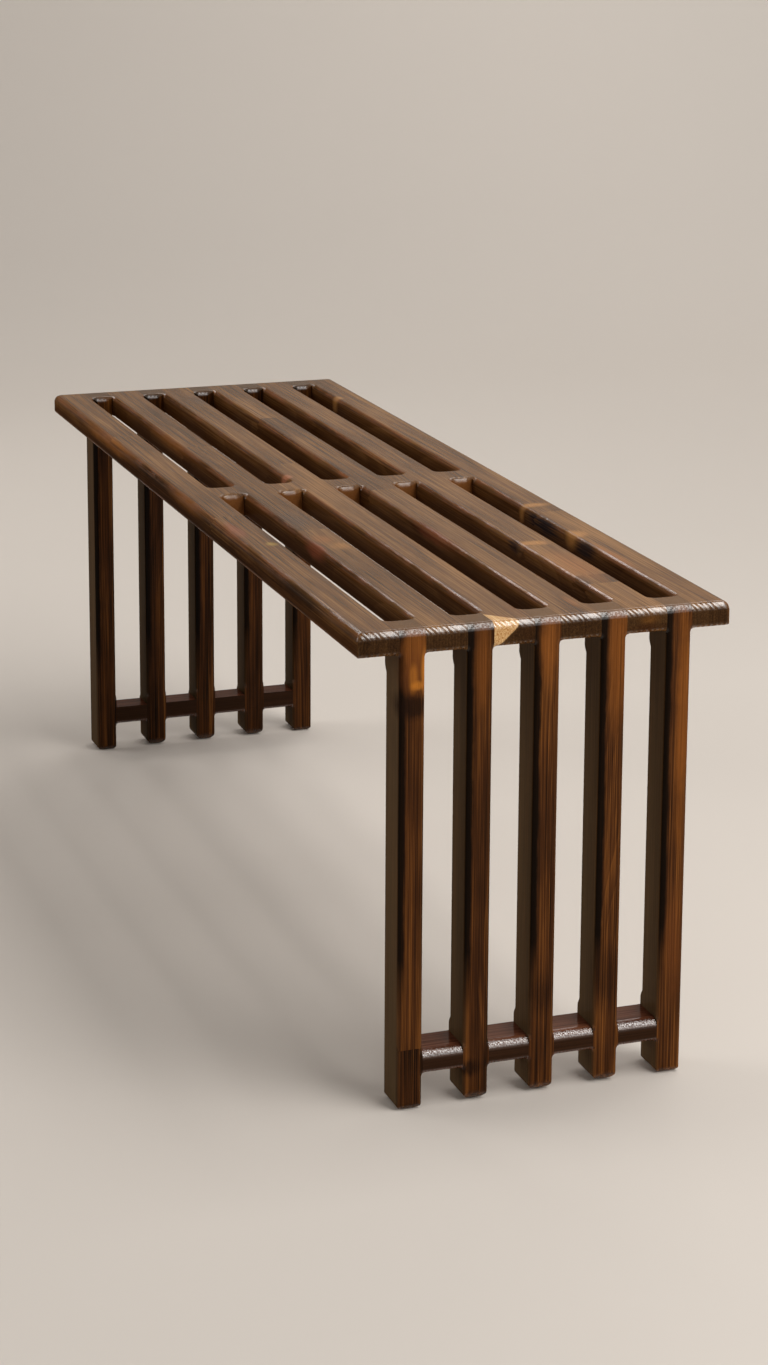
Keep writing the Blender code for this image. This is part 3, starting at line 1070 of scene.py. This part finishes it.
class Router:
    """All the round-overs that are routed after glue-up: each kind of pass is made once and copied."""

    def __init__(self, plan: BenchPlan) -> None:
        """Set up the bits and run them.

        Args:
            plan: The bench's sizes.
        """
        self.plan = plan
        self.passes: list[bpy.types.Object] = []
        self.slots()
        self.windows()

    def keep(self, item: bpy.types.Object, steps: range, turned: str) -> None:
        """Keep a pass at the near end, its copies along the row, and all of them turned to the far end.

        Args:
            item: The pass.
            steps: How many places on each copy lies.
            turned: The name of the passes at the far end.
        """
        row = [item] + [Workshop.copy(item, f"{item.name}_{step}", self.plan.along_row(step)) for step in steps]
        far = [Workshop.copy(entry, f"{turned}_{place}", HALF_TURN) for place, entry in enumerate(row)]
        self.passes += row + far

    def slots(self) -> None:
        """Run round every slot, on the top and on the underside."""
        plan = self.plan
        low = (plan.rail_width / 2, plan.leg_y(1) - plan.leg_width / 2)
        high = (plan.end - plan.leg_depth, plan.leg_y(1) + plan.leg_width / 2)
        top = face_frame((0, 0, plan.top), (1, 0, 0), (0, 1, 0))
        under = face_frame((0, 0, plan.underside), (1, 0, 0), (0, -1, 0))
        others = range(1, plan.leg_count)
        bit = RouterBit(plan.slot_radius, plan.slot_bearing)
        self.keep(bit.run("slot_pass", low, high, top), others, "far_slot_pass")
        bit = RouterBit(plan.underside_radius, plan.slot_bearing, segments=4)
        self.keep(bit.run("under_pass", (low[0], -high[1]), (high[0], -low[1]), under), others, "far_under_pass")

    def windows(self) -> None:
        """Run round the openings between the legs, on the end face and on the inner face.

        The first and the last one lie outside the outer legs and run down past the floor. The others are
        parted by the stretcher blocks, and their inner passes stop short of the seat and of the stretcher.
        """
        plan = self.plan
        bit = RouterBit(plan.window_radius, plan.window_bearing)
        outside = face_frame((plan.end, 0, 0), (0, 1, 0), (0, 0, 1))
        inside = face_frame((plan.end - plan.leg_depth, 0, 0), (0, -1, 0), (0, 0, 1))
        stop = plan.underside - plan.stop_below_seat
        start = plan.bar_high + plan.stop_above_stretcher
        full = (("out", outside, -plan.runout, plan.underside), ("in", inside, -plan.runout, stop))
        parted = (("out", outside, plan.bar_high, plan.underside), ("in", inside, start, stop),
                  ("foot_out", outside, -plan.runout, plan.bar_low), ("foot_in", inside, -plan.runout, plan.bar_low))
        for number, rows, steps in ((1, full, range(0)), (2, parted, range(1, plan.slat_count - 2)),
                                    (plan.slat_count, full, range(0))):
            low_y = plan.slat_y(number) - plan.slat_width / 2 - (plan.runout if number == 1 else 0)
            high_y = plan.slat_y(number) + plan.slat_width / 2 + (plan.runout if number == plan.slat_count else 0)
            for label, face, low_z, high_z in rows:
                low_u, high_u = (low_y, high_y) if face is outside else (-high_y, -low_y)
                item = bit.run(f"window_{number}_{label}", (low_u, low_z), (high_u, high_z), face)
                self.keep(item, steps, f"far_window_{number}_{label}")

    def put_away(self) -> None:
        """Remove every pass once the boards are cut."""
        for item in self.passes:
            bpy.data.objects.remove(item, do_unlink=True)
        self.passes.clear()


@dataclass
class Board:
    """One kind of board, modelled once and copied to each of its places.

    Attributes:
        slot: The name of the board's kind of wood; not used.
        finish: Its wood's finish.
        grain: The axis that its grain runs along.
        size: Its size.
        centre: The centre of the one that is modelled.
        rounds: Its own rounded edges.
    """

    slot: str
    finish: WoodFinish
    grain: Grain
    size: Vector
    centre: Vector
    rounds: list[EdgeRound] = field(default_factory=list)

    def make(self, passes: list[bpy.types.Object], places: dict[str, tuple[Matrix, Character]]) -> None:
        """Model the board, copy it, and dress every copy for its place.

        Args:
            passes: The router passes.
            places: For each CAD node that it replaces, the first one's own first: the move to its place, and
                what is particular to the board there.
        """
        names = list(places)
        first = Workshop.block(names[0] + "_board", self.size, self.centre)
        Workshop.round_edges(first, self.size, self.centre, self.rounds)
        Workshop.cut(first, passes)
        Workshop.smooth(first)
        made = {names[0]: first}
        made.update({name: Workshop.copy(first, name + "_board", places[name][0]) for name in names[1:]})
        for name, item in made.items():
            move, character = places[name]
            item.data.materials.clear()
            wood = BoardWood(name, self.finish, self.grain, move @ self.centre, self.size, character)
            item.data.materials.append(wood.paint())
            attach(item, BODY)
            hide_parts(name)
            LOG.info("%s: %d faces", item.name, len(item.data.polygons))


# ---------------------------------------------------------------- sub-assemblies

@dataclass
class Seat:
    """The slats and the mid blocks.

    Attributes:
        plan: The bench's sizes.
        slat_finish: The finish of the slats.
        block_finish: The finish of the mid blocks.
        block_seed: The number before the first mid block's seed.
        block_lightness: A factor on the mid blocks' colours.
    """

    plan: BenchPlan
    slat_finish: WoodFinish = SEAT_FINISH
    block_finish: WoodFinish = BLOCK_FINISH_PAINTED_LIT_ENDS
    block_seed: int = 30
    block_lightness: float = 0.95

    CHARACTERS = {
        1: Character(11, 1.0, (Segment(-0.30, 0.56), Segment(0.12, 0.50)), (
            Patch((0.239, 0.0075, 0.0115), (0.008, 0.005, 0.010), OLIVE, 0.7, 0.004),
            Patch((0.172, -0.010, 0.0100), (0.030, 0.007, 0.010), ROSE, 0.6),
            Patch((-0.040, -0.0210, 0.0000), (0.450, 0.0045, 0.020), UMBER, 0.6),
            Patch((-0.300, -0.017, 0.0060), (0.110, 0.005, 0.008), ORANGE, 0.5),
            Patch((0.020, -0.017, 0.0060), (0.060, 0.004, 0.007), ORANGE, 0.5),
            Patch((0.400, -0.019, 0.0060), (0.070, 0.004, 0.007), UMBER, 0.6))),
        2: Character(12, 0.94, (Segment(-0.22, 0.46), Segment(0.20, 0.54)), (
            Patch((0.235, -0.004, 0.0115), (0.018, 0.010, 0.010), ORANGE, 0.6, 0.005),
            Patch((0.268, 0.004, 0.0115), (0.014, 0.009, 0.010), TAN, 0.5, 0.006),
            Patch((0.260, -0.017, 0.0060), (0.028, 0.005, 0.008), ROSE, 0.7),
            Patch((0.150, -0.004, 0.0115), (0.040, 0.014, 0.010), ASH, 0.6),
            Patch((-0.260, -0.017, 0.0060), (0.100, 0.004, 0.008), ORANGE, 0.5))),
        3: Character(13, 1.0, (Segment(-0.1, 0.54),), (
            Patch((-0.045, -0.016, 0.0090), (0.009, 0.006, 0.010), CLAY, 0.8),
            Patch((0.545, 0.014, 0.0000), (0.035, 0.010, 0.012), RUST, 0.7),
            Patch((-0.483, 0.010, 0.0115), (0.030, 0.008, 0.010), ASH, 0.6)), True),
        4: Character(14, 0.98, (Segment(-0.35, 0.46), Segment(0.05, 0.52)), (
            Patch((0.530, 0.008, 0.0115), (0.020, 0.004, 0.010), ORANGE, 0.5),
            Patch((0.250, -0.016, 0.0060), (0.060, 0.004, 0.008), ROSE, 0.5))),
        5: Character(15, 1.04, (Segment(0.33, 0.58), Segment(0.452, 0.40), Segment(0.482, 0.62)), (
            Patch((0.315, -0.006, 0.0100), (0.009, 0.016, 0.010), TAN, 0.8, 0.004),
            Patch((0.305, -0.019, 0.0070), (0.018, 0.004, 0.006), SOOT, 0.7),
            Patch((0.410, 0.000, 0.0115), (0.055, 0.018, 0.008), ORANGE, 0.5),
            Patch((0.572, 0.002, 0.0010), (0.006, 0.011, 0.005), HONEY, 0.8),
            Patch((0.572, 0.000, -0.006), (0.006, 0.018, 0.004), RUST, 0.8))),
        6: Character(16, 1.0, (Segment(0.17, 0.46), Segment(0.20, 0.56)), (
            Patch((0.163, -0.008, 0.0080), (0.008, 0.017, 0.014), TAN, 0.8, 0.004),
            Patch((0.225, -0.019, 0.0040), (0.042, 0.006, 0.009), SOOT, 0.9),
            Patch((0.292, -0.013, 0.0080), (0.014, 0.011, 0.012), TAN, 0.75, 0.007),
            Patch((0.330, -0.019, 0.0040), (0.022, 0.005, 0.008), SOOT, 0.8),
            Patch((0.385, -0.013, 0.0090), (0.050, 0.005, 0.008), ORANGE, 0.6),
            Patch((-0.446, -0.016, 0.0060), (0.010, 0.007, 0.014), TAN, 0.8))),
    }

    def rounds(self, number: int) -> list[EdgeRound]:
        """The edges of a slat that are rounded before glue-up.

        Args:
            number: The slat's number.

        Returns:
            The edges.
        """
        plan = self.plan
        low, mid, high = Where.LOW, Where.MIDDLE, Where.HIGH
        made = [EdgeRound((end, mid, high), plan.top_radius) for end in (low, high)]
        outside = {1: low, plan.slat_count: high}.get(number)
        if outside:
            corner = plan.first_corner_radius if number == 1 else plan.last_corner_radius
            made.append(EdgeRound((mid, outside, high), plan.top_radius))
            made.append(EdgeRound((mid, outside, low), plan.bottom_radius))
            made.extend(EdgeRound((end, outside, mid), corner) for end in (low, high))
        return made

    def build(self, passes: list[bpy.types.Object]) -> None:
        """Make the slats and the mid blocks.

        Args:
            passes: The router passes.
        """
        plan = self.plan
        size = Vector((plan.length, plan.slat_width, plan.thickness))
        for first, last in ((1, 1), (2, plan.slat_count - 1), (plan.slat_count, plan.slat_count)):
            board = Board("slat_wood", self.slat_finish, Grain.ALONG_X, size,
                          Vector((0, plan.slat_y(first), plan.middle_z)), self.rounds(first))
            board.make(passes, {f"slat_{number}": (plan.along_row(number - first), self.CHARACTERS[number])
                                for number in range(first, last + 1)})
        size = Vector((plan.rail_width, plan.leg_width - 2 * plan.glue_line, plan.thickness))
        board = Board("mid_block_wood", self.block_finish, Grain.ALONG_X, size,
                      Vector((0, plan.leg_y(1), plan.middle_z)))
        board.make(passes, {
            f"mid_block_{number}": (plan.along_row(number - 1),
                                    Character(self.block_seed + number, self.block_lightness))
            for number in range(1, plan.leg_count + 1)})


@dataclass
class LegRows:
    """The legs and the stretcher blocks of both ends, the far row being the near one turned half round.

    Attributes:
        plan: The bench's sizes.
        leg_finish: The finish of the legs.
        stretcher_finish: The finish of the stretcher blocks.
        far_painted_shade: A factor that darkens the colours of the far end, as painted shade.
        far_leg_seed: The number before the first far leg's seed.
        stretcher_seed: The number before the first near stretcher block's seed.
        far_stretcher_seed: The number before the seeds of the far ones, which count the other way.
    """

    plan: BenchPlan
    leg_finish: WoodFinish = LEG_FINISH
    stretcher_finish: WoodFinish = STRETCHER_FINISH
    # Painted shade: the far legs and stretcher blocks are darker copies of the near ones.
    far_painted_shade: float = 0.74
    far_leg_seed: int = 80
    stretcher_seed: int = 90
    far_stretcher_seed: int = 100

    LEGS = {
        1: Character(51, 1.0, (Segment(-0.22, 0.41), Segment(-0.161, 0.58)), (
            Patch((0.156, 0.000, 0.019), (0.012, 0.020, 0.020), UMBER, 0.85),
            Patch((0.205, 0.001, 0.019), (0.022, 0.012, 0.014), AMBER, 0.7),
            Patch((0.184, 0.003, 0.019), (0.017, 0.014, 0.014), RUST, 0.7, 0.004),
            # A thin gold strip down the knot's right edge, where the light falls: knot wood with a painted highlight.
            Patch((0.186, 0.011, 0.019), (0.019, 0.003, 0.014), GOLD, 0.7),
            Patch((0.181, 0.001, 0.019), (0.012, 0.004, 0.014), GOLD, 0.45, 0.005),
            Patch((0.174, 0.005, 0.019), (0.004, 0.006, 0.014), GOLD, 0.7))),
        2: Character(52, 1.0, (), (
            Patch((-0.192, -0.004, 0.019), (0.008, 0.012, 0.014), UMBER, 0.8),
            Patch((0.190, 0.002, 0.019), (0.040, 0.008, 0.014), AMBER, 0.5))),
        3: Character(53, 1.15, (), (
            Patch((0.196, 0.001, 0.019), (0.034, 0.009, 0.014), AMBER, 0.6),
            Patch((-0.130, 0.000, 0.019), (0.020, 0.012, 0.014), UMBER, 0.6))),
        4: Character(54, 1.15, (), (
            Patch((0.180, 0.004, 0.019), (0.060, 0.009, 0.014), AMBER, 0.6),
            Patch((-0.120, 0.000, 0.019), (0.030, 0.012, 0.014), UMBER, 0.6))),
        5: Character(55, 1.2, (), (
            Patch((0.120, 0.005, 0.019), (0.110, 0.006, 0.014), AMBER, 0.7),
            Patch((-0.100, 0.002, 0.019), (0.050, 0.008, 0.014), RUST, 0.5))),
    }

    def build(self, passes: list[bpy.types.Object]) -> None:
        """Make the legs and the blocks between them.

        Args:
            passes: The router passes.
        """
        plan = self.plan
        middle_x = plan.end - plan.leg_depth / 2
        low, mid, high = Where.LOW, Where.MIDDLE, Where.HIGH
        size = Vector((plan.leg_depth, plan.leg_width - 2 * plan.glue_line, plan.top))
        last = plan.leg_count
        for first, end in ((1, 1), (2, last - 1), (last, last)):
            foot = plan.outer_foot_radius if first in (1, last) else plan.foot_radius
            rounds = [EdgeRound((high, mid, high), plan.top_radius)]
            for side in (low, high):
                rounds += [EdgeRound((side, mid, low), foot), EdgeRound((mid, side, low), foot)]
            board = Board("leg_wood", self.leg_finish, Grain.ALONG_Z, size,
                          Vector((middle_x, plan.leg_y(first), plan.top / 2)), rounds)
            places = {}
            for number in range(first, end + 1):
                move = plan.along_row(number - first)
                far = last + 1 - number
                places[f"near_leg_{number}"] = (move, self.LEGS[number])
                places[f"far_leg_{far}"] = (HALF_TURN @ move, Character(self.far_leg_seed + far, self.far_painted_shade))
            board.make(passes, places)
        size = Vector((plan.leg_depth, plan.slat_width, plan.bar_high - plan.bar_low))
        board = Board("stretcher_wood", self.stretcher_finish, Grain.ALONG_Y, size,
                      Vector((middle_x, plan.slat_y(2), plan.bar_low + size.z / 2)),
                      [EdgeRound((high, mid, high), plan.bar_radius)])
        places = {}
        for number in range(1, last):
            move = plan.along_row(number - 1)
            far = Character(self.far_stretcher_seed + number, self.far_painted_shade)
            places[f"near_stretcher_{number}"] = (move, Character(self.stretcher_seed + number))
            places[f"far_stretcher_{last - number}"] = (HALF_TURN @ move, far)
        board.make(passes, places)


# ---------------------------------------------------------------- studio

@dataclass
class PhotoCamera:
    """The camera at the photograph's place, fitted to its straight edges.

    Attributes:
        focal_px: The focal length in pixels of the photograph.
        place: Where it stands.
        yaw: The heading of the view, in radians from +X.
        pitch: The tilt of the view, in radians.
        roll: The roll of the view, in radians.
        centre_y_px: The height in the photograph that the lens's axis meets.
        sensor: The sensor's longer side in millimetres.
        near_clip: The nearest distance that is seen.
        far_clip: The farthest distance that is seen.
    """

    focal_px: float = 2951.9
    place: tuple[float, float, float] = (2.9109, -0.9800, 1.1413)
    yaw: float = 2.8024
    pitch: float = -0.20705
    roll: float = 0.0054
    centre_y_px: float = 440.0
    sensor: float = 36.0
    near_clip: float = 0.05
    far_clip: float = 60.0

    def build(self) -> None:
        """Make the camera and set it as the scene's camera."""
        data = bpy.data.cameras.new("photo_camera")
        data.sensor_fit = "AUTO"
        data.sensor_width = self.sensor
        data.lens = self.sensor * self.focal_px / PHOTO_HEIGHT
        data.shift_y = (self.centre_y_px - PHOTO_HEIGHT / 2) / PHOTO_HEIGHT
        data.clip_start, data.clip_end = self.near_clip, self.far_clip
        item = bpy.data.objects.new("photo_camera", data)
        bpy.context.scene.collection.objects.link(item)
        ahead = Vector((math.cos(self.pitch) * math.cos(self.yaw), math.cos(self.pitch) * math.sin(self.yaw),
                        math.sin(self.pitch)))
        right = ahead.cross(Vector((0, 0, 1))).normalized()
        up = right.cross(ahead)
        rolled_right = math.cos(self.roll) * right + math.sin(self.roll) * up
        rolled_up = -math.sin(self.roll) * right + math.cos(self.roll) * up
        turned = Matrix((rolled_right, rolled_up, -ahead)).transposed().to_4x4()
        turned.translation = Vector(self.place)
        item.matrix_world = turned
        bpy.context.scene.camera = item


@dataclass(frozen=True)
class Softbox:
    """A soft rectangular lamp.

    Attributes:
        name: The lamp's name.
        place: Where it hangs.
        target: What it points at.
        size: Its width and height.
        power: Its power in watts.
        colour: Its colour.
    """

    name: str
    place: tuple[float, float, float]
    target: tuple[float, float, float]
    size: tuple[float, float]
    power: float
    colour: tuple[float, float, float] = (1.0, 0.985, 0.96)

    def build(self) -> None:
        """Hang the lamp and aim it."""
        data = bpy.data.lights.new(self.name, "AREA")
        data.shape = "RECTANGLE"
        data.size, data.size_y = self.size
        data.energy = self.power
        data.color = self.colour
        item = bpy.data.objects.new(self.name, data)
        bpy.context.scene.collection.objects.link(item)
        item.location = self.place
        aim = Vector(self.target) - Vector(self.place)
        if aim.xy.length > TINY:
            item.rotation_euler = aim.to_track_quat("-Z", "Y").to_euler()


@dataclass
class Studio:
    """A seamless paper sweep under large soft lamps.

    Attributes:
        paper: The paper's colour.
        paper_cloud: The colour of its faint unevenness.
        cloud_strength: How strongly that shows.
        paper_roughness: The paper's roughness.
        paper_gloss: The strength of its mirror reflection.
        room: The colour of the room's light.
        room_strength: The strength of the room's light.
        distance: The colour that is seen beyond the paper.
        floor_size: The length and width of the floor.
        floor_centre_x: The middle of the floor along X.
        fade_start: How far out the paper starts to fade into the distance.
        fade_width: How far it takes to fade.
        rise: The height of the backdrop.
        bend: The radius between the floor and the backdrop.
        bend_segments: The steps in that bend.
        lamps: The lamps.
    """

    paper: Colour = shade(216, 208, 200)
    paper_cloud: Colour = shade(206, 198, 189)
    cloud_strength: float = 0.12
    paper_roughness: float = 0.85
    paper_gloss: float = 0.15
    room: Colour = (1.0, 0.975, 0.94, 1.0)
    room_strength: float = 0.17
    distance: Colour = shade(196, 188, 178)
    floor_size: tuple[float, float] = (17.0, 26.0)
    floor_centre_x: float = 3.5
    fade_start: float = 2.0
    fade_width: float = 2.4
    rise: float = 6.0
    bend: float = 2.2
    bend_segments: int = 24
    lamps: tuple[Softbox, ...] = (
        Softbox("overhead_softbox", (1.70, 1.10, 2.7), (1.70, 1.10, 0.0), (3.9, 1.1), 70.0),
        Softbox("front_softbox", (3.4, 2.3, 2.1), (0.3, 0.0, 0.25), (3.6, 2.8), 78.0),
        Softbox("left_softbox", (-1.8, -3.4, 1.7), (0.0, 0.0, 0.3), (2.4, 2.0), 50.0),
        Softbox("rim_softbox", (-2.5, -0.25, 2.10), (0.4, 0.0, 0.45), (1.8, 0.5), 13.0),
        Softbox("backdrop_softbox", (-3.3, 2.6, 3.2), (-3.6, 1.9, 0.3), (2.4, 2.4), 50.0),
    )

    def sweep(self) -> None:
        """Make the floor and the rising backdrop as one bent sheet."""
        Workshop.clear_selection()
        length, width = self.floor_size
        bpy.ops.mesh.primitive_plane_add(size=1.0, location=(self.floor_centre_x, 0.0, 0.0))
        item = bpy.context.object
        item.name = "paper_sweep"
        item.data.transform(Matrix.Diagonal((length, width, 1.0, 1.0)))
        back = TINY - length / 2
        Workshop.select_edges(item, lambda first, second: max(first.x, second.x) < back)
        bpy.ops.mesh.extrude_region_move(TRANSFORM_OT_translate={"value": (0, 0, self.rise)})
        Workshop.select_edges(item, lambda first, second: max(first.x, second.x) < back and
                              max(abs(first.z), abs(second.z)) < TINY)
        bpy.ops.mesh.bevel(offset=self.bend, segments=self.bend_segments, affect="EDGES")
        Workshop.pick(item)
        bpy.ops.object.transform_apply(location=True, rotation=True, scale=True)
        bpy.ops.object.shade_smooth()
        material = bpy.data.materials.new("paper")
        item.data.materials.append(material)
        nodes = Nodes(material)
        place = nodes.place()
        x, y, _ = nodes.split(place)
        cloud = nodes.noise(place, 3.0, 0.6, 3.0) * self.cloud_strength
        paper = nodes.add("BsdfPrincipled", {
            "Base Color": nodes.mix(cloud, self.paper, self.paper_cloud), "Roughness": self.paper_roughness,
            "Specular IOR Level": self.paper_gloss})
        away = nodes.math("MAXIMUM", nodes.math("ABSOLUTE", y), x)
        fade = away.step(self.fade_start, self.fade_width) * nodes.seen()
        nodes.show(nodes.add("MixShader", {0: fade, 1: paper, 2: nodes.add("Emission", {"Color": self.distance})}))

    def build(self) -> None:
        """Make the sweep, the lamps and the room's light."""
        self.sweep()
        for lamp in self.lamps:
            lamp.build()
        world = bpy.data.worlds.new("room")
        bpy.context.scene.world = world
        nodes = Nodes(world)
        lit = nodes.add("Background", {"Color": self.room, "Strength": self.room_strength})
        seen = nodes.add("Background", {"Color": self.distance, "Strength": 1.0})
        nodes.show(nodes.add("MixShader", {0: nodes.seen(), 1: lit, 2: seen}), "OutputWorld")
        bpy.context.scene.view_settings.view_transform = "Standard"


def main() -> None:
    """Build the camera, the studio and the bench, in that order."""
    logging.basicConfig(level=logging.INFO, format="%(name)s %(message)s")
    PhotoCamera().build()
    Studio().build()
    plan = BenchPlan()
    router = Router(plan)
    Seat(plan).build(router.passes)
    LegRows(plan).build(router.passes)
    router.put_away()
    DowelFinish().dress()


if __name__ == "__main__":
    main()
